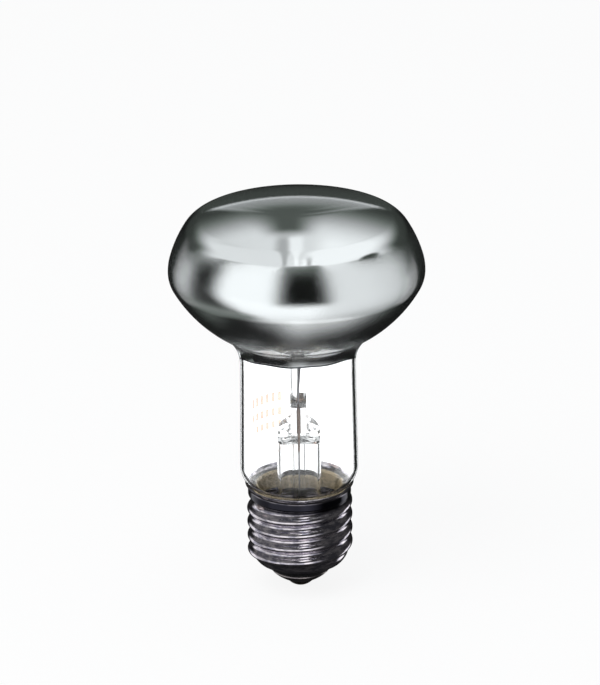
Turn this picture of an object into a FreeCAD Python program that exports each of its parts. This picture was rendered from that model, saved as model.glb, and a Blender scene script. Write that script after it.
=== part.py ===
import FreeCAD, Part
import math
import os

from FreeCAD import Vector

# Reflector bulb with a mirrored head and a screw cap, upright on its centre contact.
# The origin is the tip of the contact, +Z runs up the axis, and -Y is the front.
# All sizes are in millimetres and all angles in degrees.

os.makedirs("parts", exist_ok=True)

# Heights of the cap, stacked from the tip of the contact up to the rim of the shell
contact_height = 4.8
insulator_show = 2.6
shell_height = 20.6

# Screw shell: thin sheet, rolled thread, plain collar, flared rim and curled lower edge
crest_d = 26.3
sheet = 0.3
thread_pitch = 3.629
thread_depth = 1.085
first_crest_drop = 6.0
thread_runout = 2.8
thread_fade = 0.36
top_turn = 0.28
collar_height = 4.0
collar_rise = 1.2
collar_step = 0.785
rim_flare = 0.65
rim_rise = 1.15
flare_power = 1.6
curl_depth = 1.3
curl_height = 2.6
curl_power = 1.9
rows_per_pitch = 10
columns = 32

# Insulator, contact and the solder on it
fit_clearance = 0.08
insulator_seat = 2.0
insulator_hole_d = 5.0
contact_d = 14.4
contact_sheet = 0.4
contact_hole_d = 1.4
dish_round = 10.8
solder_d = 6.6
solder_height = 1.6

# Solder on the collar, over a hole for the side lead
side_solder_angle = 218.7
side_solder_drop = 3.7
side_solder_width = 2.6
side_solder_height = 1.5
side_solder_proud = 0.45
side_hole_d = 0.9

# Head of the glass envelope: tangent arcs, from the crown down to the neck
head_rise = 56.05
head_d = 63.0
crown_radius = 84.6
shoulder_radius = 7.2
flank_radius = 29.4
flank_turn = 32.4
widest_radius = 11.8
widest_turn = 16.2
under_radius = 6.5
under_turn = 29.1
bowl_radius = 33.8
throat_radius = 11.0
glass_wall = 0.8

# Neck of the envelope, and its narrow end that is cemented into the cap
neck_d = 28.5
belly_d = 29.4
belly_round = 6.0
cone_angle = 47.9
socket_drop = 1.4
socket_round = 1.5
seal_drop = 7.0
cement_gap = 0.765
cement_drop = 1.1
cement_rise = 0.8

# Mirror on the inside of the head
mirror_drop = 21.75
mirror_rise = 3.5
mirror_thickness = 0.15

# Flare tube, and the flat press at its upper end
flare_d = 10.9
flare_wall = 1.0
flare_rim = 1.0
tube_height = 17.6
shoulder_rise = 2.8
shoulder_round = 2.6
waist_rise = 1.8
waist_round = 1.2
press_height = 6.6
press_thickness = 4.0
press_edge = 0.6
cavity_rise = 2.6

# Exhaust tube, sealed off at its lower tip, and the vent above it
exhaust_d = 3.5
exhaust_bore = 2.4
exhaust_seat = 1.7
exhaust_tail = 7.0
vent_d = 1.6

# Wires, from the cap up to the filament
lead_spacing = 5.2
seal_wire_d = 0.5
seal_wire_tail = 1.1
outer_lead_d = 0.4
outer_bend = 1.2
side_lead_drop = 2.4
side_lead_bend = 0.3
inner_lead_d = 0.55
lead_rise = 4.2
lead_lower_bend = 2.4
lead_upper_bend = 1.2
lead_lean = 1.2
lead_upright = 2.0
lead_tip = 1.0

# Filament ring, with its glass arbor and support hooks
filament_drop = 8.05
filament_radius = 9.0
coil_d = 1.0
support_angles = (130.0, 180.0, 230.0)
support_wire_d = 0.3
hook_clearance = 0.05
arbor_x = -1.0
arbor_d = 1.8
arbor_foot_d = 1.1
arbor_taper = 4.0
button_d = 3.4
button_drop = 3.0

# Levels that the pieces share, each measured from the one before it
shell_low_z = contact_height + insulator_show
rim_z = shell_low_z + shell_height
collar_low_z = rim_z - collar_height
seal_z = rim_z - seal_drop
socket_z = rim_z - socket_drop
flare_top_z = seal_z + tube_height
shoulder_z = flare_top_z + shoulder_rise
press_z = shoulder_z + waist_rise
press_top_z = press_z + press_height
head_z = rim_z + head_rise
filament_z = head_z - filament_drop

# Radii of the cap, and of the glass that stands in it with room for the cement
root_r = crest_d / 2 - thread_depth
collar_r = root_r + collar_step
rim_r = collar_r + rim_flare
shell_low_r = root_r - curl_depth
socket_r = root_r - sheet - cement_gap

AXIS = Vector(0, 0, 1)
ORIGIN = Vector(0, 0, 0)


def at(r, z):
    """A point of an outline in the XZ plane."""
    return Vector(r, 0, z)


def line(start, end):
    return Part.LineSegment(start, end).toShape()


def lines(points):
    """Straight runs from each point to the next."""
    return [line(start, end) for start, end in zip(points, points[1:])]


def polar(centre, radius, angle):
    """A point at an angle in radians about a centre in the XZ plane."""
    return centre + at(radius * math.cos(angle), radius * math.sin(angle))


def arc(centre, radius, start, end):
    """An arc in the XZ plane between two angles in radians."""
    middle = (start + end) / 2
    points = [polar(centre, radius, a) for a in (start, middle, end)]
    return Part.Arc(*points).toShape()


def rounded(points, radii):
    """Straight runs joined by tangent arcs, one radius for each inner point."""
    edges = []
    start = points[0]
    for before, corner, after, radius in zip(points, points[1:], points[2:], radii):
        into = (corner - before).normalize()
        out = (after - corner).normalize()
        turn = into.getAngle(out)
        reach = radius * math.tan(turn / 2)
        bisector = (out - into).normalize()
        first = corner - into * reach
        last = corner + out * reach
        middle = corner + bisector * (radius / math.cos(turn / 2) - radius)
        edges.append(line(start, first))
        edges.append(Part.Arc(first, middle, last).toShape())
        start = last
    edges.append(line(start, points[-1]))
    return edges


def turned(edges, angle=360):
    """A solid of revolution about the axis from a closed outline."""
    return Part.Face(Part.Wire(edges)).revolve(ORIGIN, AXIS, angle)


def wire_solid(points, diameter, bends):
    """A round wire along straight runs joined by tangent bends."""
    path = Part.Wire(rounded(points, bends))
    ring = Part.Circle(points[0], points[1] - points[0], diameter / 2).toShape()
    return path.makePipeShell([Part.Wire(ring)], True, False)


def largest(shape):
    """The one solid that counts, where a cut also leaves crumbs."""
    return max(shape.Solids, key=lambda solid: solid.Volume)


def save(name, shape):
    if not shape.isValid():
        raise ValueError(name + " is not a valid shape")
    shape.exportStep("parts/" + name + ".step")


# Screw shell. Its sheet follows a rolled thread: convex and hollow arcs of one radius,
# wound as a right-hand helix that fades out at both ends.

quarter = thread_pitch / 4
thread_round = (quarter ** 2 + (thread_depth / 2) ** 2) / thread_depth
front_crest_z = rim_z - first_crest_drop
thread_turns = (front_crest_z - shell_low_z - thread_runout) / thread_pitch


def smooth(t):
    t = min(max(t, 0.0), 1.0)
    return t * t * (3 - 2 * t)


def ridge(offset):
    """Height of the thread over its root, offset in millimetres from a crest."""
    offset = abs(offset)
    if offset < quarter:
        return thread_depth - thread_round + math.sqrt(thread_round ** 2 - offset ** 2)
    return thread_round - math.sqrt(thread_round ** 2 - (2 * quarter - offset) ** 2)


def shell_radius(angle, z):
    """Outer radius of the sheet at an angle in radians from the front and a height."""
    turns = angle / (2 * math.pi)
    count = round((z - front_crest_z) / thread_pitch - turns)
    along = turns + count
    crest_z = front_crest_z + thread_pitch * along
    fade = smooth((top_turn + thread_fade - along) / thread_fade)
    fade *= smooth((along + thread_turns + thread_fade) / thread_fade)
    radius = root_r + fade * ridge(z - crest_z)
    radius += collar_step * smooth((z - collar_low_z) / collar_rise)
    radius += rim_flare * max(0.0, (z - rim_z + rim_rise) / rim_rise) ** flare_power
    curl = max(0.0, (shell_low_z + curl_height - z) / curl_height)
    return radius - curl_depth * curl ** curl_power


def sheet_face(inset):
    """One side of the sheet: a smooth surface, closed round the axis."""
    rows = int(shell_height / thread_pitch * rows_per_pitch) + 3
    spans = rows - 3
    step = shell_height / spans
    shrink = (2 + math.cos(2 * math.pi / columns)) / 3  # a closed cubic spline runs inside its poles
    knots = [0, 0, 0] + list(range(spans + 1)) + [spans, spans, spans]
    poles = []
    for column in range(columns):
        angle = 2 * math.pi * column / columns
        line_of_poles = []
        for row in range(rows):
            z = shell_low_z + step * sum(knots[row + 1:row + 4]) / 3
            low, mid, high = [shell_radius(angle, z + d) for d in (-step, 0, step)]
            if row in (0, 1, rows - 2, rows - 1):
                sharpen = 0
            else:
                sharpen = (high - 2 * mid + low) / 6
            slope = (high - low) / (2 * step)
            tilt = math.hypot(1, slope)
            radius = (mid - sharpen - inset / tilt) / shrink
            height = z + inset * slope / tilt
            way = angle - math.pi / 2
            line_of_poles.append(Vector(radius * math.cos(way), radius * math.sin(way), height))
        poles.append(line_of_poles)
    surface = Part.BSplineSurface()
    around = [1] * (columns + 1)
    upward = [4] + [1] * (spans - 1) + [4]
    surface.buildFromPolesMultsKnots(
        poles, around, upward, range(columns + 1), range(spans + 1), True, False, 3, 3)
    return surface.toShape()


def rim_edge(face, top):
    """The lowest or highest closed edge of one side of the sheet."""
    level = [e for e in face.Edges if e.isClosed()]
    return max(level, key=lambda e: e.CenterOfMass.z if top else -e.CenterOfMass.z)


outer_side = sheet_face(0)
inner_side = sheet_face(sheet)
lips = [Part.makeRuledSurface(rim_edge(outer_side, top), rim_edge(inner_side, top)) for top in (True, False)]
shell_skin = Part.Shell([outer_side, inner_side] + lips)
shell_skin.sewShape()
cap_shell = Part.Solid(shell_skin)
if cap_shell.Volume < 0:
    cap_shell.reverse()

side_a = math.radians(side_solder_angle)
side_way = Vector(math.cos(side_a), math.sin(side_a), 0)
side_solder_z = rim_z - side_solder_drop
side_seat_r = shell_radius(side_a + math.pi / 2, side_solder_z + side_solder_height / 2)
gap_r = root_r - sheet - cement_gap / 2
side_hole = Part.makeCylinder(side_hole_d / 2, rim_r - gap_r, side_way * gap_r + at(0, side_solder_z), side_way)
save("cap_shell", cap_shell.cut(side_hole))

# Insulator: black glass that is pressed into the lower end of the shell.

insulator_top_z = shell_low_z + insulator_seat
curl_slope = curl_depth * curl_power / curl_height
curl_tilt = math.hypot(1, curl_slope)
insulator_r = shell_low_r - sheet / curl_tilt - fit_clearance
insulator_edge_z = shell_low_z + sheet * curl_slope / curl_tilt - fit_clearance
insulator = turned(lines([
    at(insulator_hole_d / 2, insulator_top_z),
    at(insulator_r, insulator_top_z),
    at(insulator_r, insulator_edge_z),
    at(contact_d / 2, contact_height),
    at(insulator_hole_d / 2, contact_height),
    at(insulator_hole_d / 2, insulator_top_z),
]))
save("cap_insulator", insulator)

# Contact: a dished plate with a hole for its wire.

contact_r = contact_d / 2
contact_hole_r = contact_hole_d / 2
dish_rim = at(contact_r, contact_height - contact_sheet)
dish_low = at(contact_hole_r, solder_height - contact_sheet)
chord = dish_rim - dish_low
chord_middle = (dish_rim + dish_low) * 0.5
chord_normal = Vector(-chord.z, 0, chord.x).normalize()
dish_centre = chord_middle + chord_normal * math.sqrt(dish_round ** 2 - (chord.Length / 2) ** 2)
dish_inside = dish_round - contact_sheet


def dish_angle(point):
    """The angle of a point of the dish about its centre."""
    return math.atan2(point.z - dish_centre.z, point.x - dish_centre.x)


hole_reach = contact_hole_r - dish_centre.x
inner_low = at(contact_hole_r, dish_centre.z - math.sqrt(dish_inside ** 2 - hole_reach ** 2))
rim_reach = dish_centre.z - contact_height
inner_rim = at(dish_centre.x + math.sqrt(dish_inside ** 2 - rim_reach ** 2), contact_height)
contact = turned([
    arc(dish_centre, dish_round, dish_angle(dish_rim), dish_angle(dish_low)),
    line(dish_low, inner_low),
    arc(dish_centre, dish_inside, dish_angle(inner_low), dish_angle(inner_rim)),
    line(inner_rim, at(contact_r, contact_height)),
    line(at(contact_r, contact_height), dish_rim),
])
save("centre_contact", contact)

# Envelope. The head's arcs are tangent, so each centre follows from the one before it.


def head_edges(inset):
    """The glass outline from the throat up to the crown, moved in by inset."""
    flank_a = math.radians(flank_turn)
    widest_a = math.radians(widest_turn)
    under_a = -math.radians(under_turn)
    equator = at(head_d / 2 - widest_radius, head_z)
    flank = polar(equator, widest_radius - flank_radius, widest_a)
    shoulder = polar(flank, flank_radius - shoulder_radius, flank_a)
    rise = math.sqrt((crown_radius - shoulder_radius) ** 2 - shoulder.x ** 2)
    crown = at(0, shoulder.z - rise)
    crown_a = math.atan2(rise, shoulder.x)
    under = at(head_d / 2 - under_radius, head_z)
    bowl = polar(under, under_radius - bowl_radius, under_a)
    throat_r = neck_d / 2 + throat_radius
    reach = bowl_radius + throat_radius
    drop = math.sqrt(reach ** 2 - (throat_r - bowl.x) ** 2)
    throat = at(throat_r, bowl.z - drop)
    bowl_a = math.atan2(-drop, throat_r - bowl.x)
    edges = [
        arc(throat, throat_radius + inset, math.pi, bowl_a + math.pi),
        arc(bowl, bowl_radius - inset, bowl_a, under_a),
        arc(under, under_radius - inset, under_a, 0),
        arc(equator, widest_radius - inset, 0, widest_a),
        arc(flank, flank_radius - inset, widest_a, flank_a),
        arc(shoulder, shoulder_radius - inset, flank_a, crown_a),
        arc(crown, crown_radius - inset, crown_a, math.pi / 2),
    ]
    return edges, throat.z, crown.z + crown_radius - inset


def neck_edges(inset, throat_z):
    """The neck outline from its sealed end up to the throat, moved in by inset."""
    cone_a = math.radians(cone_angle)
    cone_height = (belly_d / 2 - socket_r) / math.tan(cone_a)
    lean = inset * math.tan(cone_a / 2)
    points = [
        at(socket_r - inset, seal_z),
        at(socket_r - inset, socket_z + lean),
        at(belly_d / 2 - inset, socket_z + cone_height + lean),
        at(neck_d / 2 - inset, throat_z),
    ]
    return rounded(points, [socket_round + inset, belly_round - inset])


def glass_body(inset):
    """The solid that fills the envelope's outline, moved in by inset."""
    head, throat_z, top = head_edges(inset)
    floor = lines([at(0, top), at(0, seal_z), at(socket_r - inset, seal_z)])
    return turned(neck_edges(inset, throat_z) + head + floor)


glass_outside = glass_body(0)
glass_inside = glass_body(glass_wall)
save("envelope", glass_outside.cut(glass_inside))

# Mirror: metal deposited on the inside of the glass, from the neck to over the widest part.

mirror_slab = Part.makeCylinder(head_d, mirror_drop + mirror_rise, at(0, head_z - mirror_drop))
mirror = glass_inside.cut(glass_body(glass_wall + mirror_thickness)).common(mirror_slab)
save("reflector_coating", mirror)

# Stem: a flared tube whose top is pinched into a flat press round the wires.

tube_r = flare_d / 2
bore_r = tube_r - flare_wall
seal_r = socket_r - glass_wall
flare_round = seal_r - tube_r
flare_low_z = seal_z - flare_rim
flare_centre = at(seal_r, seal_z + flare_round)
flare_edge_z = press_top_z - press_edge
flare = turned([
    line(at(0, press_top_z), at(tube_r - press_edge, press_top_z)),
    arc(at(tube_r - press_edge, flare_edge_z), press_edge, math.pi / 2, 0),
    line(at(tube_r, flare_edge_z), at(tube_r, flare_centre.z)),
    arc(flare_centre, flare_round, math.pi, 1.5 * math.pi),
] + lines([at(seal_r, seal_z), at(socket_r, seal_z), at(socket_r, flare_low_z), at(0, flare_low_z), at(0, press_top_z)]))

cavity_top_z = flare_top_z + cavity_rise
cavity_round = (bore_r ** 2 + cavity_rise ** 2) / (2 * cavity_rise)
cavity_centre = at(0, cavity_top_z - cavity_round)
cavity_a = math.asin((flare_top_z - cavity_centre.z) / cavity_round)
hollow = turned([
    line(at(seal_r, flare_low_z), at(0, flare_low_z)),
    line(at(0, flare_low_z), at(0, cavity_top_z)),
    arc(cavity_centre, cavity_round, math.pi / 2, cavity_a),
    line(at(bore_r, flare_top_z), at(bore_r, flare_centre.z)),
    arc(flare_centre, flare_round + flare_wall, math.pi, 1.5 * math.pi),
])


def jaw(side):
    """What one jaw of the press pinches away, from the tube's side in to the flat."""
    wide = tube_r + fit_clearance
    clear = tube_r + flare_wall
    points = [
        at(wide, flare_top_z - flare_wall),
        at(wide, shoulder_z),
        at(press_thickness / 2, press_z),
        at(press_thickness / 2, press_top_z + flare_wall),
    ]
    outline = rounded(points, [shoulder_round, waist_round])
    outline += lines([points[3], at(clear, points[3].z), at(clear, points[0].z), points[0]])
    block = Part.Face(Part.Wire(outline)).extrude(Vector(0, 2 * flare_d, 0))
    block.translate(Vector(0, -flare_d, 0))
    if side < 0:
        block.rotate(ORIGIN, AXIS, 180)
    return block


exhaust_top_z = cavity_top_z + exhaust_seat
exhaust_tip_z = seal_z - exhaust_tail
exhaust_r = exhaust_d / 2
exhaust_bore_r = exhaust_bore / 2
vent_z = exhaust_top_z + vent_d / 2
socket = Part.makeCylinder(exhaust_r, exhaust_top_z - flare_top_z, at(0, flare_top_z))
well = Part.makeCylinder(exhaust_bore_r, vent_z - flare_top_z, at(0, flare_top_z))
vent = Part.makeCylinder(vent_d / 2, flare_d, at(0, vent_z), Vector(1, 0, 0))
stem = flare.cut([jaw(1), jaw(-1)])
flat_rims = [e for e in stem.Edges if e.BoundBox.ZMin > flare_edge_z and e.BoundBox.XLength < press_edge / 2]
stem = stem.makeFillet(press_edge, flat_rims).cut([hollow, socket, well, vent])

# Exhaust tube: open at its seat in the stem and drawn off to a round tip below.

tip_centre = at(0, exhaust_tip_z + exhaust_r)
save("exhaust_tube", turned([
    line(at(exhaust_bore_r, exhaust_top_z), at(exhaust_r, exhaust_top_z)),
    line(at(exhaust_r, exhaust_top_z), at(exhaust_r, tip_centre.z)),
    arc(tip_centre, exhaust_r, 0, -math.pi / 2),
    line(at(0, exhaust_tip_z), at(0, tip_centre.z - exhaust_bore_r)),
    arc(tip_centre, exhaust_bore_r, -math.pi / 2, 0),
    line(at(exhaust_bore_r, tip_centre.z), at(exhaust_bore_r, exhaust_top_z)),
]))

# Wires. The back pair serves the centre contact and the front pair the cap shell.

seal_wire_low_z = flare_top_z - seal_wire_tail
inner_leads = []
for name, side in (("a", 1), ("b", -1)):
    y = side * lead_spacing / 2
    seal_wire = Part.makeCylinder(seal_wire_d / 2, press_top_z - seal_wire_low_z, Vector(0, y, seal_wire_low_z))
    stem = stem.cut(seal_wire)
    save("seal_wire_" + name, seal_wire)
    lead = wire_solid([
        Vector(0, y, press_top_z),
        Vector(0, y, press_top_z + lead_rise),
        Vector(lead_lean, side * filament_radius, filament_z - lead_upright),
        Vector(lead_lean, side * filament_radius, filament_z + lead_tip),
    ], inner_lead_d, [lead_lower_bend, lead_upper_bend])
    inner_leads.append(lead)
    save("inner_lead_" + name, lead)
save("stem_flare", stem)

centre_lead = wire_solid([
    Vector(0, lead_spacing / 2, seal_wire_low_z),
    Vector(0, lead_spacing / 2, exhaust_tip_z - outer_bend),
    at(0, insulator_top_z),
    at(0, solder_height / 2),
], outer_lead_d, [outer_bend, outer_bend])
save("outer_lead_centre", centre_lead)

side_low_z = flare_low_z - side_lead_drop
side_lead = wire_solid([
    Vector(0, -lead_spacing / 2, seal_wire_low_z),
    Vector(0, -lead_spacing / 2, side_low_z),
    side_way * gap_r + at(0, side_low_z),
    side_way * gap_r + at(0, side_solder_z),
    side_way * (side_seat_r + side_solder_proud / 2) + at(0, side_solder_z),
], outer_lead_d, [outer_bend, outer_bend, side_lead_bend])
save("outer_lead_side", side_lead)

# Filament ring, with the arbor, its button and the hooks that carry the coil.

end_a = math.degrees(math.asin(filament_radius / math.hypot(lead_lean, filament_radius)))
coil_ring = Part.Face(Part.Wire(Part.Circle(at(filament_radius, filament_z), Vector(0, 1, 0), coil_d / 2).toShape()))
coil_ring.rotate(ORIGIN, AXIS, end_a)
filament = coil_ring.revolve(ORIGIN, AXIS, 360 - 2 * end_a)
save("filament", largest(filament.cut(inner_leads)))

button_z = filament_z - button_drop
arbor_rod_z = press_top_z + arbor_taper
arbor_foot = Part.makeCone(arbor_foot_d / 2, arbor_d / 2, arbor_taper, at(arbor_x, press_top_z))
arbor_rod = Part.makeCylinder(arbor_d / 2, button_z - arbor_rod_z, at(arbor_x, arbor_rod_z))
button = Part.makeSphere(button_d / 2, at(arbor_x, button_z))
arbor = arbor_foot.fuse([arbor_rod, button]).removeSplitter()
hook_radius = coil_d / 2 + hook_clearance + support_wire_d / 2
for number, angle in enumerate(support_angles, 1):
    way = Vector(math.cos(math.radians(angle)), math.sin(math.radians(angle)), 0)
    eye = way * filament_radius + at(0, filament_z)
    foot = at(arbor_x, button_z) + way * (button_d / 4)
    reach = eye - foot
    shank = Part.makeCylinder(support_wire_d / 2, reach.Length - hook_radius, foot, reach)
    hook = Part.makeTorus(hook_radius, support_wire_d / 2, eye, AXIS.cross(way))
    support = shank.fuse(hook).removeSplitter()
    arbor = arbor.cut(support)
    save("support_wire_" + str(number), support)
save("support_rod", arbor)

# Solder on the contact: a flat lens that closes the hole round the centre lead.

solder_r = solder_d / 2
solder_ball = (solder_r ** 2 + solder_height ** 2) / (2 * solder_height)
solder_lens = Part.makeSphere(solder_ball, at(0, solder_ball))
solder_block = Part.makeCylinder(solder_r, solder_height + contact_sheet)
save("centre_solder", largest(solder_lens.common(solder_block).cut([contact, centre_lead])))

# Side solder: a flat blob over the hole in the collar.

blob = Part.makeSphere(1.0)
stretch = FreeCAD.Matrix()
stretch.scale(2 * side_solder_proud, side_solder_width / 2, side_solder_height / 2)
blob = blob.transformGeometry(stretch)
blob.rotate(ORIGIN, AXIS, side_solder_angle)
blob.translate(side_way * (side_seat_r - side_solder_proud) + at(0, side_solder_z))
shell_ends = [Part.Face(Part.Wire(rim_edge(outer_side, top))) for top in (True, False)]
shell_core = Part.Solid(Part.Shell([outer_side] + shell_ends))
save("side_solder", largest(blob.cut([shell_core, side_lead])))

# Basing cement: fills the collar round the glass and stops just under the rim.

cement_low_z = seal_z + cement_rise
cement_top_z = rim_z - cement_drop
cement_low_r = root_r - sheet - fit_clearance
cement_high_r = collar_r - sheet - fit_clearance
cement = turned(lines([
    at(0, cement_low_z),
    at(cement_low_r, cement_low_z),
    at(cement_low_r, collar_low_z + sheet),
    at(cement_high_r, collar_low_z + collar_rise + sheet),
    at(cement_high_r, cement_top_z),
    at(0, cement_top_z),
    at(0, cement_low_z),
]))
save("basing_cement", cement.cut([glass_outside, side_lead]))
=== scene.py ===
import math

import bmesh
import bpy
from mathutils import Matrix, Vector


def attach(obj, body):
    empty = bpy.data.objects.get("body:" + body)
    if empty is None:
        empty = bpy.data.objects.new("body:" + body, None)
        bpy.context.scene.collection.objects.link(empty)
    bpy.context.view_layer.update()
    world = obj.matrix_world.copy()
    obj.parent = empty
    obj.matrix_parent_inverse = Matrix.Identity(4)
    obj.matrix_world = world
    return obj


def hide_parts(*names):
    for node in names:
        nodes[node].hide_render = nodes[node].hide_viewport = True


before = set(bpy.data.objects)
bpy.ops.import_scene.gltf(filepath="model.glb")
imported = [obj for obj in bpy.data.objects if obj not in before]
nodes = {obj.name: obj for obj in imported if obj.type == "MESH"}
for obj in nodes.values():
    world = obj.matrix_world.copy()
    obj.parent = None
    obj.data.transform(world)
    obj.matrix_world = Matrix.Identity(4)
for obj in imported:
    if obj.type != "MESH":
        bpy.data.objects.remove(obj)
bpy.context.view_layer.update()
mm = 0.001

# Screw shell: one thin sheet of plated brass, rolled to a round thread. It ends in a plain
# collar with a flared rim above, and in a curled edge below that grips the insulator.

rim_z = 28.0 * mm
shell_low_z = 7.4 * mm
crest_r = 13.15 * mm
sheet = 0.3 * mm
thread_pitch = 3.629 * mm
thread_depth = 1.085 * mm
first_crest_z = rim_z - 6.0 * mm
thread_turns = 3.25
thread_fade = 0.36
top_turn = 0.28
collar_z = rim_z - 4.0 * mm
collar_rise = 1.2 * mm
collar_step = 0.785 * mm
rim_flare = 0.65 * mm
rim_rise = 1.15 * mm
rim_power = 1.6
curl_depth = 1.3 * mm
curl_height = 2.6 * mm
curl_power = 1.9
collar_low_mm = 23.6
collar_high_mm = 27.0
shell_rows = 150
shell_segments = 144

root_r = crest_r - thread_depth
quarter = thread_pitch / 4
thread_round = (quarter ** 2 + (thread_depth / 2) ** 2) / thread_depth


def smooth(t):
    """0 up to 0, 1 from 1 on and smooth between them."""
    t = min(max(t, 0.0), 1.0)
    return t * t * (3 - 2 * t)


def ridge(offset):
    """Height of the thread over its root, at a distance from the nearest crest."""
    offset = abs(offset)
    if offset < quarter:
        return thread_depth - thread_round + math.sqrt(thread_round ** 2 - offset ** 2)
    return thread_round - math.sqrt(thread_round ** 2 - (2 * quarter - offset) ** 2)


def shell_radius(angle, z):
    """Outer radius of the sheet at an angle from the front and a height."""
    turns = angle / (2 * math.pi)
    along = turns + round((z - first_crest_z) / thread_pitch - turns)
    fade = smooth((top_turn + thread_fade - along) / thread_fade)
    fade *= smooth((along + thread_turns + thread_fade) / thread_fade)
    radius = root_r + fade * ridge(z - first_crest_z - thread_pitch * along)
    radius += collar_step * smooth((z - collar_z) / collar_rise)
    radius += rim_flare * max(0.0, (z - rim_z + rim_rise) / rim_rise) ** rim_power
    curl = max(0.0, (shell_low_z + curl_height - z) / curl_height) ** curl_power
    return radius - curl_depth * curl


def spun(outline, segments, closed=True):
    """A shape turned about the upright axis from an outline of (radius, height) points."""
    shape = bmesh.new()
    points = [shape.verts.new((r, 0, z)) for r, z in outline]
    ends = points[1:] + points[:1] if closed else points[1:]
    runs = [shape.edges.new(pair) for pair in zip(points, ends)]
    bmesh.ops.spin(shape, geom=points + runs, cent=(0, 0, 0), axis=(0, 0, 1),
                   angle=2 * math.pi, steps=segments, use_merge=True)
    bmesh.ops.remove_doubles(shape, verts=shape.verts, dist=1e-7)
    bmesh.ops.recalc_face_normals(shape, faces=shape.faces)
    return shape


def piece(shape, name, material, crease=40):
    """A finished mesh that rides on the one body of the bulb."""
    mesh = bpy.data.meshes.new(name)
    shape.to_mesh(mesh)
    shape.free()
    mesh.materials.append(material)
    mesh.shade_smooth()
    mesh.set_sharp_from_angle(angle=math.radians(crease))
    made = bpy.data.objects.new(name, mesh)
    bpy.context.scene.collection.objects.link(made)
    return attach(made, "root")


class Value:
    """A value in a finish. Sums of values add the Math nodes that work them out."""

    def __init__(self, finish, socket):
        self.finish = finish
        self.socket = socket

    def maths(self, operation, *others):
        sockets = dict(enumerate((self, *others)))
        return self.finish.node("ShaderNodeMath", {"operation": operation}, sockets)

    def __add__(self, other):
        return self.maths("ADD", other)

    def __sub__(self, other):
        return self.maths("SUBTRACT", other)

    def __mul__(self, other):
        return self.maths("MULTIPLY", other)

    def __truediv__(self, other):
        return self.maths("DIVIDE", other)

    def __pow__(self, other):
        return self.maths("POWER", other)

    def __neg__(self):
        return self * -1

    def __rsub__(self, other):
        return -self + other

    def __abs__(self):
        return self.maths("ABSOLUTE")

    __radd__ = __add__
    __rmul__ = __mul__

    def most(self, other):
        return self.maths("MAXIMUM", other)

    def rise(self, low, high):
        """0 below low, 1 above high and smooth between them."""
        sockets = {0: self, 1: low, 2: high, 3: 0.0, 4: 1.0}
        return self.finish.node("ShaderNodeMapRange", {"interpolation_type": "SMOOTHSTEP"}, sockets)

    def band(self, low, high, soft):
        """1 between low and high, with edges as wide as soft."""
        return self.rise(low - soft, low + soft) * (1 - self.rise(high - soft, high + soft))


class Finish:
    """The nodes of one material, or of the world."""

    def __init__(self, owner):
        owner.use_nodes = True
        self.tree = owner.node_tree
        self.tree.nodes.clear()

    def node(self, kind, settings=None, sockets=None, output=0):
        """Adds a node of a kind: its settings first, then the values or links of its sockets."""
        made = self.tree.nodes.new(kind)
        for name, setting in (settings or {}).items():
            setattr(made, name, setting)
        for name, value in (sockets or {}).items():
            if isinstance(value, Value):
                self.tree.links.new(value.socket, made.inputs[name])
            else:
                made.inputs[name].default_value = value
        return Value(self, made.outputs[output])

    def colour(self, factor, first, second):
        """A colour between two others."""
        return self.node("ShaderNodeMix", {"data_type": "RGBA"}, {0: factor, 6: first, 7: second}, 2)

    def noise(self, place, scale, detail=3.0, roughness=0.55):
        """Cloudy marks round 0.5. The scale counts them in a metre."""
        sockets = {"Vector": place, "Scale": scale, "Detail": detail, "Roughness": roughness}
        return self.node("ShaderNodeTexNoise", {}, sockets)

    def bump(self, height, strength, distance):
        """Fine relief: the height of 1 stands a distance over the surface."""
        sockets = {"Height": height, "Strength": strength, "Distance": distance}
        return self.node("ShaderNodeBump", {}, sockets)

    def place(self):
        """The point of the surface in the bulb's own frame."""
        return self.node("ShaderNodeTexCoord", output="Object")

    def axes(self, vector):
        """The three parts of a vector."""
        parts = self.node("ShaderNodeSeparateXYZ", {}, {0: vector})
        return [Value(self, socket) for socket in parts.socket.node.outputs]

    def stretched(self, place, scale):
        """The same point with its own scale along each axis."""
        return self.node("ShaderNodeMapping", {}, {"Vector": place, "Scale": scale})

    def metal(self, sockets):
        """A bare metal surface."""
        return self.node("ShaderNodeBsdfPrincipled", {}, {"Metallic": 1.0, **sockets})

    def surface(self, shader, kind="ShaderNodeOutputMaterial"):
        """Sends the finished surface out."""
        end = self.tree.nodes.new(kind)
        self.tree.links.new(shader.socket, end.inputs["Surface"])


def material(name):
    """A new material and the finish that fills it."""
    made = bpy.data.materials.new(name)
    return made, Finish(made)


def rgb(red, green, blue):
    """An opaque colour."""
    return (red, green, blue, 1.0)


plated_shell, look = material("plated_shell")
place = look.place()
rolled = look.noise(look.stretched(place, (260, 260, 2600)), 1.0, 4.0)
tarnish = look.noise(look.stretched(place, (420, 420, 1300)), 1.0, 5.0, 0.65)
tint = look.colour(tarnish.rise(0.38, 0.62), rgb(0.34, 0.33, 0.39), rgb(0.86, 0.81, 0.84))
upward = look.axes(place)[2]
# Painted shade: the collar band is painted near black, for the dark shaded ground that it reflects.
collar_painted_shade = (upward / mm).band(collar_low_mm, collar_high_mm, 0.5)
tint = look.colour(collar_painted_shade, tint, rgb(0.024, 0.024, 0.032))
look.surface(look.metal({
    "Base Color": tint,
    "Roughness": 0.06 + 0.10 * tarnish.rise(0.3, 0.75),
    "Normal": look.bump(rolled + tarnish * 0.6, 0.3, 0.02 * mm),
}))

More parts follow.
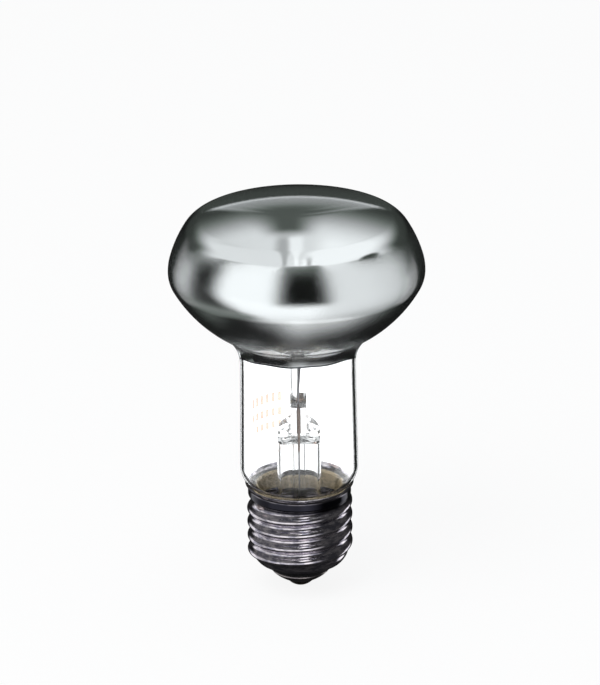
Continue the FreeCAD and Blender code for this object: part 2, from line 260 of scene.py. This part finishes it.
row_height = (rim_z - shell_low_z) / shell_rows
outline = [(root_r, shell_low_z + row_height * row) for row in range(shell_rows + 1)]
outline += [(root_r - sheet, z) for r, z in reversed(outline)]
shell = spun(outline, shell_segments)
for vert in shell.verts:
    x, y, z = vert.co
    angle = math.atan2(x, -y)
    over, under = (shell_radius(angle, z + step) for step in (sheet / 4, -sheet / 4))
    slope = (over - under) / (sheet / 2)
    inset = sheet / math.hypot(1, slope) if math.hypot(x, y) < root_r - sheet / 2 else 0.0
    radius = shell_radius(angle, z) - inset
    vert.co = (radius * math.sin(angle), -radius * math.cos(angle), z + inset * slope)
bmesh.ops.recalc_face_normals(shell, faces=shell.faces)
screw_shell = piece(shell, "screw_shell", plated_shell)
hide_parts("cap_shell")

# Insulator: black glass that was cast into the lower end of the shell. It shows as a dark
# cone between the curled edge and the contact.

insulator_top_z = 9.4 * mm
insulator_r = 10.36 * mm
insulator_edge_z = 7.45 * mm
insulator_hole_r = 2.5 * mm
insulator_soft = 0.15 * mm
contact_r = 7.2 * mm
contact_top_z = 4.8 * mm
contact_seat = 0.02 * mm
turned_segments = 96


def arc(centre, radius, start, end, steps):
    """Points of an arc between two angles in degrees, in the plane of an outline."""
    angles = [math.radians(start + (end - start) * step / steps) for step in range(steps + 1)]
    return [(centre[0] + radius * math.cos(a), centre[1] + radius * math.sin(a)) for a in angles]


def soften(shape, sharp, offset):
    """Rounds the edges of a shape that turn by more than sharp degrees."""
    rims = [edge for edge in shape.edges if edge.calc_face_angle(0) > math.radians(sharp)]
    bmesh.ops.bevel(shape, geom=rims, offset=offset, segments=3, profile=0.5,
                    affect="EDGES", material=-1)


black_glass, look = material("black_glass")
place = look.place()
smear = look.noise(place, 420.0, 5.0, 0.6)
smear_tint = look.colour(smear.rise(0.35, 0.7), rgb(0.008, 0.008, 0.012), rgb(0.03, 0.028, 0.032))
look.surface(look.node("ShaderNodeBsdfPrincipled", {}, {
    "Base Color": smear_tint,
    "Roughness": 0.06 + 0.2 * smear,
    "Specular IOR Level": 0.6,
    "Normal": look.bump(smear, 0.2, 0.05 * mm),
}))
insulator = spun([
    (insulator_hole_r, insulator_top_z),
    (insulator_r, insulator_top_z),
    (insulator_r, insulator_edge_z),
    (contact_r + insulator_soft, contact_top_z + contact_seat),
    (insulator_hole_r, contact_top_z + contact_seat),
], turned_segments)
soften(insulator, 25, insulator_soft)
cap_glass = piece(insulator, "cap_glass", black_glass)
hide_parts("cap_insulator")

# Contact: a pressed plate of plated brass, dished like a shallow bowl, with a hole for the
# centre lead. Its rolled rim shows as a thin bright line.

contact_low_z = 1.2 * mm
contact_sheet = 0.4 * mm
contact_soft = 0.12 * mm
dish_round = 10.8 * mm
dish_centre = (-0.544 * mm, 11.928 * mm)
dish_steps = 24


def dish(radius, high, low, steps):
    """The dish's section from one height down to another."""
    angles = [math.degrees(math.asin((z - dish_centre[1]) / radius)) for z in (high, low)]
    return arc(dish_centre, radius, angles[0], angles[1], steps)


contact_metal, look = material("contact_metal")
place = look.place()
stain = look.noise(place, 300.0, 5.0, 0.6)
look.surface(look.metal({
    "Base Color": look.colour(stain.rise(0.3, 0.75), rgb(0.20, 0.19, 0.20), rgb(0.44, 0.40, 0.38)),
    "Roughness": 0.2 + 0.25 * stain,
    "Normal": look.bump(stain, 0.25, 0.04 * mm),
}))
outer_dish = dish(dish_round, contact_top_z - contact_sheet, contact_low_z, dish_steps)
inner_round = dish_round - contact_sheet
inner_low_z = contact_low_z + contact_sheet
inner_dish = dish(inner_round, contact_top_z - contact_seat, inner_low_z, dish_steps)
contact = spun(outer_dish + inner_dish[::-1] + [(contact_r, contact_top_z)], turned_segments)
soften(contact, 40, contact_soft)
contact_plate = piece(contact, "contact_plate", contact_metal)
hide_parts("centre_contact")

# Solder on the contact: a soft drop that closed the hole round the centre lead and was worn
# flat, dull and brownish by the lamp holder.

solder_r = 3.3 * mm
solder_height = 1.6 * mm
small_segments = 64
solder_ball = (solder_r ** 2 + solder_height ** 2) / (2 * solder_height)


def solder_look(name, dark, light):
    """Solder that set with a lumpy, grainy skin."""
    made, look = material(name)
    place = look.place()
    grain = look.noise(place, 900.0, 5.0, 0.65)
    lumps = look.noise(place, 260.0, 3.0)
    look.surface(look.metal({
        "Base Color": look.colour(grain.rise(0.35, 0.7), dark, light),
        "Roughness": 0.3 + 0.3 * grain,
        "Normal": look.bump(lumps + grain * 0.5, 0.6, 0.12 * mm),
    }))
    return made


dull_solder = solder_look("dull_solder", rgb(0.10, 0.085, 0.07), rgb(0.32, 0.27, 0.23))
drop_turn = math.degrees(math.asin(solder_r / solder_ball))
drop_skin = arc((0, solder_ball), solder_ball, -90, -90 + drop_turn, 20)
drop = spun(drop_skin + [(0, solder_height)], small_segments)
for vert in drop.verts:
    vert.co.z = max(vert.co.z, 0.0)
contact_solder = piece(drop, "contact_solder", dull_solder)
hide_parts("centre_solder")

# Side solder: a rough blob over the hole in the collar. The side lead comes out there and was
# soldered by hand, so the blob is still bright.


def dress(name, material):
    """Gives one of the part's own pieces its material."""
    nodes[name].data.materials.clear()
    nodes[name].data.materials.append(material)


bright_solder = solder_look("bright_solder", rgb(0.45, 0.38, 0.38), rgb(0.95, 0.86, 0.86))
dress("side_solder", bright_solder)

# Basing cement: a brown, grainy filling that was baked between the glass and the collar. It
# shows through the glass all round, down to the seal.

socket_r = 11.0 * mm
socket_z = 26.6 * mm
cone_turn = 47.9
cement_top_z = 26.9 * mm
cement_low_z = 21.8 * mm
bond = 0.04 * mm
cement_gap = 0.08 * mm
cement_root_r = root_r - sheet - cement_gap
cement_r = cement_root_r + collar_step
cement_segments = 128

baked_cement, look = material("baked_cement")
place = look.place()
grain = look.noise(place, 3200.0, 4.0, 0.75)
patches = look.noise(place, 240.0, 4.0, 0.6)
drips = look.noise(look.stretched(place, (420, 420, 60)), 1.0, 3.0)
mix = 0.5 * grain + 0.25 * patches + 0.25 * drips
brown = look.colour(mix.rise(0.43, 0.57), rgb(0.14, 0.11, 0.055), rgb(0.78, 0.64, 0.42))
across, along = look.axes(place)[:2]
# Painted shade: the cement's outer edge, in the gap between the rim and the glass, is painted near
# black.
rim_gap_painted_shade = ((across * across + along * along) ** 0.5 / mm).rise(11.5, 11.9)
brown = look.colour(rim_gap_painted_shade, brown, rgb(0.05, 0.045, 0.04))
look.surface(look.node("ShaderNodeBsdfPrincipled", {}, {
    "Base Color": brown,
    "Roughness": 0.75,
    "Normal": look.bump(grain, 0.5, 0.08 * mm),
}))
bond_r = socket_r - bond
cone_step = (cement_top_z - socket_z) * math.tan(math.radians(cone_turn))
cement = spun([
    (bond_r, cement_low_z),
    (cement_root_r, cement_low_z),
    (cement_root_r, collar_z + sheet),
    (cement_r, collar_z + collar_rise + sheet),
    (cement_r, cement_top_z),
    (bond_r + cone_step, cement_top_z),
    (bond_r, socket_z),
], cement_segments)
cement_ring = piece(cement, "cement_ring", baked_cement)
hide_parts("basing_cement")

# Stem: a flared tube of lead glass, sealed to the neck at its lip. Its hot top was pinched
# flat round the wires, and it stands in the neck under the mirror.

seal_z = 21.0 * mm
flare_lip = 1.0 * mm
flare_wall = 1.0 * mm
tube_r = 5.45 * mm
tube_top_z = 38.6 * mm
press_z = 43.2 * mm
press_top_z = 49.8 * mm
press_half = 2.0 * mm
press_edge = 0.6 * mm
roof_z = 41.2 * mm
flare_round = 4.75 * mm
lip_r = 10.2 * mm
lip_end_r = lip_r + 0.75 * mm
tube_steps = 60
pinch_rise = 0.6 * mm
pinch_width = 1.6 * tube_r
pinch_power = 0.6
pinch_sharpness = 7
roof_cover = 0.2 * mm
bore_cover = 0.1 * mm


def clear_look(name, tint):
    """Clear glass. Light that comes in straight reaches what is behind it."""
    made, look = material(name)
    path = look.tree.nodes.new("ShaderNodeLightPath").outputs
    straight = Value(look, path["Is Shadow Ray"]).most(Value(look, path["Is Diffuse Ray"]))
    glass = look.node("ShaderNodeBsdfPrincipled", {}, {
        "Base Color": tint, "Roughness": 0.0, "IOR": 1.5, "Transmission Weight": 1.0,
    })
    open_way = look.node("ShaderNodeBsdfTransparent")
    look.surface(look.node("ShaderNodeMixShader", {}, {0: straight, 1: glass, 2: open_way}))
    return made


stem_clear = clear_look("stem_clear", rgb(1.0, 1.0, 1.0))
flare_centre = (lip_r, seal_z + flare_round)
bore_r = tube_r - flare_wall
roof_rise = roof_z - tube_top_z
roof_ball = (bore_r ** 2 + roof_rise ** 2) / (2 * roof_rise)
roof_turn = math.degrees(math.asin((roof_ball - roof_rise) / roof_ball))
tube_low_z = seal_z + flare_round
tube_step = (press_top_z - press_edge - tube_low_z) / tube_steps
tube_rows = [tube_low_z + tube_step * row for row in range(tube_steps)]
stem = spun(
    [(0, press_top_z), (tube_r / 2, press_top_z)]
    + arc((tube_r - press_edge, press_top_z - press_edge), press_edge, 90, 0, 6)
    + [(tube_r, z) for z in reversed(tube_rows)]
    + arc(flare_centre, flare_round, 180, 270, 16)[1:]
    + [(lip_end_r, seal_z), (lip_end_r, seal_z - flare_lip), (lip_r, seal_z - flare_lip)]
    + arc(flare_centre, flare_round + flare_wall, 270, 180, 16)[1:]
    + arc((0, roof_z - roof_ball), roof_ball, roof_turn, 90, 12), turned_segments)
for vert in stem.verts:
    pinch = (vert.co.z - tube_top_z) / (press_z + pinch_rise - tube_top_z)
    pinch = min(max(pinch, 0.0), 1.0)
    outside_bore = math.hypot(vert.co.x, vert.co.y) > bore_r + bore_cover
    if pinch > 0 and outside_bore or vert.co.z > roof_z + roof_cover:
        half = press_half + (pinch_width - press_half) * (1 - pinch ** 2) ** pinch_power
        share = abs(vert.co.x) / half
        vert.co.x /= (1 + share ** pinch_sharpness) ** (1 / pinch_sharpness)
stem_glass = piece(stem, "stem_glass", stem_clear, 50)
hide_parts("stem_flare")

# Exhaust tube: the thin glass tube through which the bulb was pumped. It hangs from the roof
# of the stem, and its lower end was drawn off to a closed tip.

exhaust_r = 1.75 * mm
exhaust_bore_r = 1.2 * mm
exhaust_tip_z = 14.0 * mm
exhaust_top_z = roof_z + roof_cover
exhaust = spun(
    arc((0, exhaust_tip_z + exhaust_r), exhaust_r, -90, 0, 12)
    + [(exhaust_r, exhaust_top_z), (exhaust_bore_r, exhaust_top_z)]
    + arc((0, exhaust_tip_z + exhaust_r), exhaust_bore_r, 0, -90, 12), small_segments)
exhaust_glass = piece(exhaust, "exhaust_glass", stem_clear, 50)
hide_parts("exhaust_tube")

# Arbor: a clear glass rod that was melted onto the press. Its upper end was softened to a
# button, and the filament's hooks were pushed into it.

dress("support_rod", stem_clear)

# Wires: nickel leads, copper-clad seal wires in the press, copper leads below it, and the
# tungsten of the coil and its hooks. All are drawn wire with fine marks along their length.


def wire_look(name, dark, light, roughness):
    """Drawn wire with fine marks that run upward."""
    made, look = material(name)
    drawn = look.noise(look.stretched(look.place(), (2400, 2400, 300)), 1.0, 4.0)
    look.surface(look.metal({
        "Base Color": look.colour(drawn, dark, light),
        "Roughness": roughness + 0.15 * drawn,
        "Normal": look.bump(drawn, 0.2, 0.02 * mm),
    }))
    return made


nickel_wire = wire_look("nickel_wire", rgb(0.16, 0.16, 0.17), rgb(0.34, 0.34, 0.36), 0.22)
copper_wire = wire_look("copper_wire", rgb(0.12, 0.08, 0.06), rgb(0.28, 0.18, 0.13), 0.25)
tungsten_wire = wire_look("tungsten_wire", rgb(0.20, 0.20, 0.21), rgb(0.40, 0.40, 0.42), 0.3)
for name in ("inner_lead_a", "inner_lead_b", "outer_lead_centre", "outer_lead_side"):
    dress(name, nickel_wire)
for name in ("seal_wire_a", "seal_wire_b"):
    dress(name, copper_wire)
for name in ("filament", "support_wire_1", "support_wire_2", "support_wire_3"):
    dress(name, tungsten_wire)

# Envelope: one blown bulb of soda glass. Its neck is clear, it narrows to its seal inside
# the cap, and the head is a wide bowl under a low dome.

head_z = 84.05 * mm
head_r = 31.5 * mm
crown_radius = 84.6 * mm
shoulder_radius = 7.2 * mm
flank_radius = 29.4 * mm
flank_turn = 32.4
widest_radius = 11.8 * mm
widest_turn = 16.2
under_radius = 6.5 * mm
under_turn = -29.1
bowl_radius = 33.8 * mm
throat_radius = 11.0 * mm
neck_r = 14.25 * mm
belly_r = 14.7 * mm
belly_round = 6.0 * mm
socket_round = 1.5 * mm
glass_wall = 0.8 * mm
glass_segments = 192


def polar(centre, radius, turn):
    """The point at a distance from a centre, at an angle in degrees."""
    turn = math.radians(turn)
    return centre[0] + radius * math.cos(turn), centre[1] + radius * math.sin(turn)


def rounded(points, radii, steps):
    """A run of points with an arc of its own radius at each inner one."""
    run = [points[0]]
    for before, corner, after, radius in zip(points, points[1:], points[2:], radii):
        corner = Vector(corner)
        into = (corner - Vector(before)).normalized()
        out = (Vector(after) - corner).normalized()
        half = into.angle(out) / 2
        side = 1 if into.x * out.y - into.y * out.x > 0 else -1
        centre = corner - into * radius * math.tan(half) + Vector((-into.y, into.x)) * side * radius
        start = math.degrees(math.atan2(into.y, into.x)) - 90 * side
        run += arc(centre, radius, start, start + side * math.degrees(2 * half), steps)
    return run + [points[-1]]


def bulb_outline(inset):
    """The glass outline from the seal up to the crown, moved in by inset."""
    equator = (head_r - widest_radius, head_z)
    flank = polar(equator, widest_radius - flank_radius, widest_turn)
    shoulder = polar(flank, flank_radius - shoulder_radius, flank_turn)
    rise = math.sqrt((crown_radius - shoulder_radius) ** 2 - shoulder[0] ** 2)
    crown = (0, shoulder[1] - rise)
    crown_turn = math.degrees(math.atan2(rise, shoulder[0]))
    under = (head_r - under_radius, head_z)
    bowl = polar(under, under_radius - bowl_radius, under_turn)
    throat_r = neck_r + throat_radius
    drop = math.sqrt((bowl_radius + throat_radius) ** 2 - (throat_r - bowl[0]) ** 2)
    throat = (throat_r, bowl[1] - drop)
    bowl_turn = math.degrees(math.atan2(-drop, throat_r - bowl[0]))
    lean = inset * math.tan(math.radians(cone_turn / 2))
    belly_z = socket_z + (belly_r - socket_r) / math.tan(math.radians(cone_turn))
    return (
        rounded([
            (socket_r - inset, seal_z),
            (socket_r - inset, socket_z + lean),
            (belly_r - inset, belly_z + lean),
            (neck_r - inset, throat[1]),
        ], [socket_round + inset, belly_round - inset], 10)[:-1]
        + arc(throat, throat_radius + inset, 180, bowl_turn + 180, 16)
        + arc(bowl, bowl_radius - inset, bowl_turn, under_turn, 28)[1:]
        + arc(under, under_radius - inset, under_turn, 0, 10)[1:]
        + arc(equator, widest_radius - inset, 0, widest_turn, 10)[1:]
        + arc(flank, flank_radius - inset, widest_turn, flank_turn, 16)[1:]
        + arc(shoulder, shoulder_radius - inset, flank_turn, crown_turn, 18)[1:]
        + arc(crown, crown_radius - inset, crown_turn, 90, 20)[1:]
    )


clear_glass = clear_look("clear_glass", rgb(1.0, 1.0, 1.0))
glass = spun(bulb_outline(0) + bulb_outline(glass_wall)[::-1], glass_segments)
glass_bulb = piece(glass, "glass_bulb", clear_glass, 50)
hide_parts("envelope")

# Mirror: aluminium vapour laid on the etched inside of the glass, so it is bright but
# grainy. It was masked by hand in the throat, so that its lower edge is not quite level.

mirror_low_z = 60.7 * mm
mirror_top_z = head_z + 3.5 * mm
mirror_bend_z = 67.0 * mm
mirror_wall = 0.15 * mm
mirror_grip = 0.03 * mm
etch_low_mm = 66.5
etch_high_mm = 94.0
edge_front = 3.3 * mm
edge_power = 2.2
edge_wave = 0.12 * mm
edge_waves = 9


def profile_radius(outline, z):
    """Radius of an outline at a height, on its part below the widest point."""
    for (r0, z0), (r1, z1) in zip(outline, outline[1:]):
        if z0 <= z <= z1 and z1 > z0:
            return r0 + (r1 - r0) * (z - z0) / (z1 - z0)
    return outline[-1][0]


def mirror_edge(angle):
    """How far the lower edge stands over its mean at an angle from the front."""
    front = max(math.cos(angle), 0.0)
    return edge_front * (1 - (1 - front) ** edge_power) + edge_wave * math.sin(edge_waves * angle)


etched_mirror, look = material("etched_mirror")
place = look.place()
across, along, upward = look.axes(place)
angle = across.maths("ARCTAN2", -along)
front = angle.maths("COSINE").most(0.0)
wave = edge_wave * (angle * edge_waves).maths("SINE")
edge = edge_front * (1 - (1 - front) ** edge_power) + wave
over_edge = (upward - mirror_low_z - edge) / mm
# Painted shade: a narrow band along the coat's lower edge is painted near black.
edge_painted_shade = 1 - over_edge.rise(0.25, 0.6)
etch = (upward / mm).band(etch_low_mm, etch_high_mm, 1.5)
fine = look.noise(place, 4200.0, 2.0, 0.6)
coarse = look.noise(place, 1700.0, 3.0, 0.6)
look.surface(look.metal({
    "Base Color": look.colour(edge_painted_shade, rgb(0.90, 0.92, 0.92), rgb(0.03, 0.035, 0.05)),
    "Roughness": 0.025 + etch * (0.01 + 0.04 * coarse),
    "Normal": look.bump((fine + coarse * 0.35) * (0.04 + etch), 1.0, 0.02 * mm),
}))
skin = glass_wall - mirror_grip
outside = bulb_outline(skin)
inside = bulb_outline(glass_wall + mirror_wall)


def stretch_of(outline, low, high):
    """The points of an outline between two heights, with ends at those heights."""
    kept = [(r, z) for r, z in outline if low < z < high]
    return [(profile_radius(outline, low), low)] + kept + [(profile_radius(outline, high), high)]


mirror = spun(stretch_of(outside, mirror_low_z, mirror_top_z)
              + stretch_of(inside, mirror_low_z, mirror_top_z)[::-1], glass_segments)
middle_wall = (skin + glass_wall + mirror_wall) / 2
middle = bulb_outline(middle_wall)
for vert in mirror.verts:
    x, y, z = vert.co
    if z < mirror_bend_z:
        radius = math.hypot(x, y)
        side = outside if radius > profile_radius(middle, z) else inside
        angle = math.atan2(x, -y)
        share = (mirror_bend_z - z) / (mirror_bend_z - mirror_low_z)
        new_z = z + share * mirror_edge(angle)
        new_radius = profile_radius(side, new_z)
        vert.co = (x * new_radius / radius, y * new_radius / radius, new_z)
bmesh.ops.recalc_face_normals(mirror, faces=mirror.faces)
mirror_coat = piece(mirror, "mirror_coat", etched_mirror, 60)
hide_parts("reflector_coating")

# Window: the same etch goes on over the dome, without the metal on the real bulb. The skin has
# the mirror's finish here, as the dome looks silvery from the front, so no light comes through.

over = [(r, z) for r, z in outside if z > mirror_top_z]
under_side = [(r, z) for r, z in inside if z > mirror_top_z]
window_rims = [(profile_radius(side, mirror_top_z), mirror_top_z) for side in (outside, inside)]
window = spun(window_rims[:1] + over + under_side[::-1] + window_rims[1:], glass_segments)
window_etch = piece(window, "window_etch", etched_mirror, 60)

# Stamp: three faint rows of plain orange bars. They were printed on the outside of the neck
# in an ink that is thin and worn, so the glass shows through it.

stamp_turn = 200.0
stamp_step = 7.2
stamp_rows = ((45.6 * mm, 2.4 * mm, 6), (41.6 * mm, 2.0 * mm, 7), (38.2 * mm, 1.8 * mm, 5))
bar_width = 0.9 * mm
ink_depth = 0.02 * mm
pale_ink, look = material("pale_ink")
worn = look.noise(look.place(), 900.0, 3.0)
# Painted light: the ink also glows faintly orange, so that the bars on the far side stay pale
# against the bright glass.
look.surface(look.node("ShaderNodeBsdfPrincipled", {}, {
    "Base Color": rgb(0.90, 0.56, 0.34), "Roughness": 0.6, "Alpha": 0.30 + 0.35 * worn,
    "Emission Color": rgb(0.90, 0.56, 0.36), "Emission Strength": 0.6,
}))
neck_side = [point for point in bulb_outline(0) if point[1] < mirror_low_z]
stamp = bmesh.new()
for height_z, bar_height, count in stamp_rows:
    for number in range(count):
        turn = math.radians(stamp_turn - 90 + number * stamp_step)
        radius = profile_radius(neck_side, height_z) + ink_depth
        bar = bmesh.ops.create_cube(stamp, size=1.0)["verts"]
        stand = Matrix.Translation((radius * math.cos(turn), radius * math.sin(turn), height_z))
        size = Matrix.Diagonal((ink_depth, bar_width, bar_height, 1))
        bmesh.ops.transform(stamp, matrix=stand @ Matrix.Rotation(turn, 4, "Z") @ size, verts=bar)
piece(stamp, "stamp_bars", pale_ink)

# Floor: a pale round table top. It looks white from above and carries the bulb's soft shadow
# under the contact.

floor_r = 0.9
floor_gap = 0.02 * mm
floor_white = 0.88
floor_shape = bmesh.new()
bmesh.ops.create_circle(floor_shape, cap_ends=True, segments=96, radius=floor_r)
floor_mesh = bpy.data.meshes.new("floor")
floor_shape.to_mesh(floor_mesh)
floor_shape.free()
floor = bpy.data.objects.new("floor", floor_mesh)
floor.location.z = -floor_gap
bpy.context.scene.collection.objects.link(floor)
pale_floor, look = material("pale_floor")
path = look.tree.nodes.new("ShaderNodeLightPath").outputs
paint = look.node("ShaderNodeBsdfDiffuse", {}, {"Color": rgb(0.9, 0.9, 0.9)})
seen = Value(look, path["Is Camera Ray"])
lift = look.node("ShaderNodeEmission", {}, {"Color": rgb(1, 1, 1), "Strength": seen})
look.surface(look.node("ShaderNodeMixShader", {}, {0: floor_white, 1: paint, 2: lift}))
floor_mesh.materials.append(pale_floor)
floor.visible_glossy = False
floor.visible_transmission = False

# Backdrop: a white sheet behind the neck and a table top that is light in front of the bulb
# and dark round its foot and behind it, a painted shadow of the bulb. They are only seen in or
# through the glass.

back_place = (-1 * mm, 22 * mm, 28 * mm)
back_width = 43 * mm
back_height = 52 * mm
back_light = 1.9
table_r = 75 * mm
table_y = -20 * mm


def screen(name, shape, paper, look, light):
    """A flat screen that shows in and through the glass alone."""
    sockets = {"Color": rgb(0.97, 0.99, 1.0), "Strength": light}
    look.surface(look.node("ShaderNodeEmission", {}, sockets))
    mesh = bpy.data.meshes.new(name)
    shape.to_mesh(mesh)
    shape.free()
    mesh.materials.append(paper)
    made = bpy.data.objects.new(name, mesh)
    made.visible_camera = False
    made.visible_diffuse = False
    made.visible_glossy = False
    made.visible_shadow = False
    bpy.context.scene.collection.objects.link(made)
    return made


paper, look = material("back_paper")
back_shape = bmesh.new()
bmesh.ops.create_grid(back_shape, x_segments=1, y_segments=1, size=0.5)
upright = Matrix.Translation(back_place) @ Matrix.Rotation(math.pi / 2, 4, "X")
back_size = Matrix.Diagonal((back_width, back_height, 1, 1))
bmesh.ops.transform(back_shape, matrix=upright @ back_size, verts=back_shape.verts)
back_sheet = screen("back_sheet", back_shape, paper, look, back_light)

paper, look = material("table_paper")
across, along = look.axes(look.place())[:2]
frontward = (0.35 * across - along) / mm
middle_light = (1 - (abs(across) / mm).rise(4, 18)) * (-along / mm).rise(8, 18)
# Painted shadow: the table's glow falls away round the bulb's foot and behind it.
table_light_and_painted_shadow = 0.012 + 0.92 * frontward.rise(8, 78) + 0.22 * middle_light
table_shape = bmesh.new()
bmesh.ops.create_circle(table_shape, cap_ends=True, segments=64, radius=table_r)
bmesh.ops.translate(table_shape, vec=(0, table_y, 0), verts=table_shape.verts)
table_top = screen("table_top", table_shape, paper, look, table_light_and_painted_shadow)

# Studio: soft white panels to the left, right and overhead, with dark gaps between them and
# a dark square where the camera stands. The glass and the metal show it by direction.

world = bpy.data.worlds.new("studio")
bpy.context.scene.world = world
look = Finish(world)
across, along, upward = look.axes(look.node("ShaderNodeTexCoord", output="Generated"))
degrees = 180 / math.pi
radians = across.maths("ARCTAN2", -along)
turn = radians * degrees
height = upward.maths("ARCSINE") * degrees
rear_turn = 180 - abs(turn)
side = turn.maths("SIGN") * rear_turn


def tone(level):
    """The light that the mirror shows at a display level of 0 to 255."""
    return ((level / 255 + 0.055) / 1.055) ** 2.4 / 0.87


def blend(light, other, share):
    return light + (other - light) * share


def towards(light, level, share):
    """Light drawn towards a display level by a share."""
    return blend(light, tone(level), share)


# The walls: white in front, grey and then black to the right, with a dark gap on the left.

seam = 20.5 + 30.4 * radians.maths("COSINE") - 6.0 * (radians * 2).maths("COSINE")
walls = towards(tone(251), 222, turn.rise(8, 34))
walls = towards(walls, 205, turn.rise(60, 110))
walls = towards(walls, 30, turn.rise(104, 134))
dip = 1 - height.rise(-60, -5)
walls = walls * (1 - dip * (0.2 + 0.28 * abs(turn).rise(25, 80)))
gap_edge = -79 + 38 * (1 - height.rise(-42, 8))
gap = 1 - (turn - gap_edge).rise(-4, 5)
gap_level = blend(tone(22), tone(112), (1 - height.rise(-34, -16)) * height.rise(-66, -52))
walls = blend(walls, gap_level, gap)
walls = towards(walls, 190, turn.band(-134, -111, 3) * height.rise(-30, -12))
walls = towards(walls, 34, 1 - turn.rise(-136, -131))
square = turn.band(-18, 30, 3) * height.band(0, 60, 2.5)
walls = blend(walls, blend(tone(10), tone(120), height.rise(35, 48)), square)
walls = towards(walls, 140, 1 - height.rise(-84, -77))
walls = towards(walls, 212, (1 - height.rise(-82, -66)) * (1 - abs(turn - 20).rise(45, 95)))

# The ceiling over the seam: pale panels between the arms of a lamp, and an arch at the rear.

ceiling = towards(tone(222), 247, across.rise(0.04, 0.12) * height.rise(32, 48))
ceiling = towards(ceiling, 204, (1 - across.rise(-0.3, -0.12)) * along.rise(0.45, 0.7))
left_arm = (across + 0.115 - 0.10 * along).band(-0.02, 0.035, 0.02) * height.rise(40, 46)
right_arm = (across - 0.115 + 0.10 * along).band(-0.03, 0.03, 0.025) * (1 - along.rise(-0.5, 0.3))
ceiling = towards(ceiling, 172, left_arm.most(right_arm))
ceiling = towards(ceiling, 244, across.band(-0.025, 0.022, 0.012) * height.rise(42, 46))
ceiling = towards(ceiling, 120, turn.band(-10, 28, 6) * (1 - height.rise(46, 53)))
blob_turn = (turn - 86) / 15
blob_rise = (height - 31) / 10
blob = blob_turn * blob_turn + blob_rise * blob_rise
ceiling = towards(ceiling, 66, 1 - blob.rise(0.25, 1.3))
rear = 1 - rear_turn.rise(56, 86)
dusk = height.rise(9, 43)
rear_level = blend(tone(14), tone(60), height.rise(-9, 8))
rear_level = rear_level + (tone(224) - tone(60)) * dusk * dusk
ceiling = blend(ceiling, rear_level, rear * (1 - height.rise(33, 48)))
arch_side = side / 9
arch_rise = (height - 11) / 20
arch = arch_side * arch_side + arch_rise * arch_rise
arch_level = blend(tone(172), tone(88), height.rise(10, 27))
ceiling = blend(ceiling, arch_level, (1 - arch.rise(0.9, 1.05)) * height.rise(10, 11))
rings = arch.band(0.78, 0.84, 0.03).most(arch.band(0.5, 0.54, 0.03) * 0.6) * height.rise(10, 11)
ceiling = towards(ceiling, 172, rings)
ceiling = towards(ceiling, 232, height.band(10.8, 12.4, 0.5) * (1 - rear_turn.rise(8, 10)))
ceiling = towards(ceiling, 86, (side + 1.7).band(-4.5, 4.5, 3.5) * height.band(22, 42, 3.5))
ceiling = towards(ceiling, 76, height.band(-8, 9, 2) * (1 - rear_turn.rise(8, 12)))
over_seam = height - seam
seam_shade = over_seam.band(-1.2, 1.2, 1.3) * abs(turn).rise(52, 75)
studio_light = blend(walls, ceiling, over_seam.rise(-1.2, 1.2))
studio_light = towards(studio_light, 72, seam_shade)
cast = look.colour(studio_light.rise(0.0, 0.5), rgb(0.86, 1.0, 0.90), rgb(0.955, 0.985, 1.0))
shown = look.node("ShaderNodeVectorMath", {"operation": "SCALE"}, {0: cast, "Scale": studio_light})

# The cap's light: a bright band at its own height, from the front round to the right.

cap_line = height.band(-36, 6, 4) * (1 - 0.5 * turn.band(-108, -72, 8))
cap_light = blend(0.17, 1.0, cap_line)
cap_light = blend(cap_light, 0.05, turn.rise(-24, 2))
cap_light = blend(cap_light, 1.4, turn.band(-8, 32, 26) * height.band(-40, 3, 3))
cap_light = blend(cap_light, 1.3, turn.band(110, 134, 5) * height.band(-38, -2, 4))
cap_light = blend(cap_light, 0.06, height.rise(56, 72))
cap_light = blend(cap_light, 0.03, 1 - height.rise(-46, -38))
cap_light = blend(cap_light, 0.02, 1 - rear_turn.rise(34, 50))
cap_light = cap_light + 1.6 * turn.band(-8, 22, 6) * height.band(48, 74, 6)
cap_sockets = {0: (0.97, 0.97, 1.0), "Scale": cap_light}
cap_shown = look.node("ShaderNodeVectorMath", {"operation": "SCALE"}, cap_sockets)

path = look.tree.nodes.new("ShaderNodeLightPath").outputs
camera_ray, glossy_ray, through_ray = (
    Value(look, path[name]) for name in ("Is Camera Ray", "Is Glossy Ray", "Is Transmission Ray")
)
sky = look.colour(glossy_ray, rgb(0.62, 0.64, 0.66), cap_shown)
sky = look.colour(through_ray, sky, shown)
sky = look.colour(camera_ray, sky, rgb(1, 1, 1))
sky_light = look.node("ShaderNodeBackground", {}, {"Color": sky, "Strength": 1.0})
look.surface(sky_light, "ShaderNodeOutputWorld")

lamp_data = bpy.data.lights.new("soft_lamp", "AREA")
lamp_data.shape = "DISK"
lamp_data.size = 0.7
lamp_data.energy = 5.0
lamp = bpy.data.objects.new("soft_lamp", lamp_data)
lamp.location = (-0.35, -0.45, 0.9)
lamp_aim = Vector((0, 0, 0.05)) - lamp.location
lamp.rotation_euler = lamp_aim.to_track_quat("-Z", "Y").to_euler()
lamp.visible_glossy = False
lamp.visible_transmission = False
bpy.context.scene.collection.objects.link(lamp)

# Camera: a long lens that stands a metre away in front of the bulb and looks down on it. It
# was held with a slight lean to one side.

camera_place = Vector((0.6, -1000.0, 453.2)) * mm
camera_pitch = math.radians(21.22)
camera_roll = math.radians(0.75)
focal_pixels = 4360.0
frame_height = 685.0
camera_data = bpy.data.cameras.new("camera")
camera_data.sensor_width = 36.0
camera_data.lens = focal_pixels / frame_height * camera_data.sensor_width
camera = bpy.data.objects.new("camera", camera_data)
camera.matrix_world = (
    Matrix.Translation(camera_place)
    @ Matrix.Rotation(math.pi / 2 - camera_pitch, 4, "X")
    @ Matrix.Rotation(-camera_roll, 4, "Z")
)
bpy.context.scene.collection.objects.link(camera)
bpy.context.scene.camera = camera
bpy.context.scene.view_settings.view_transform = "Standard"
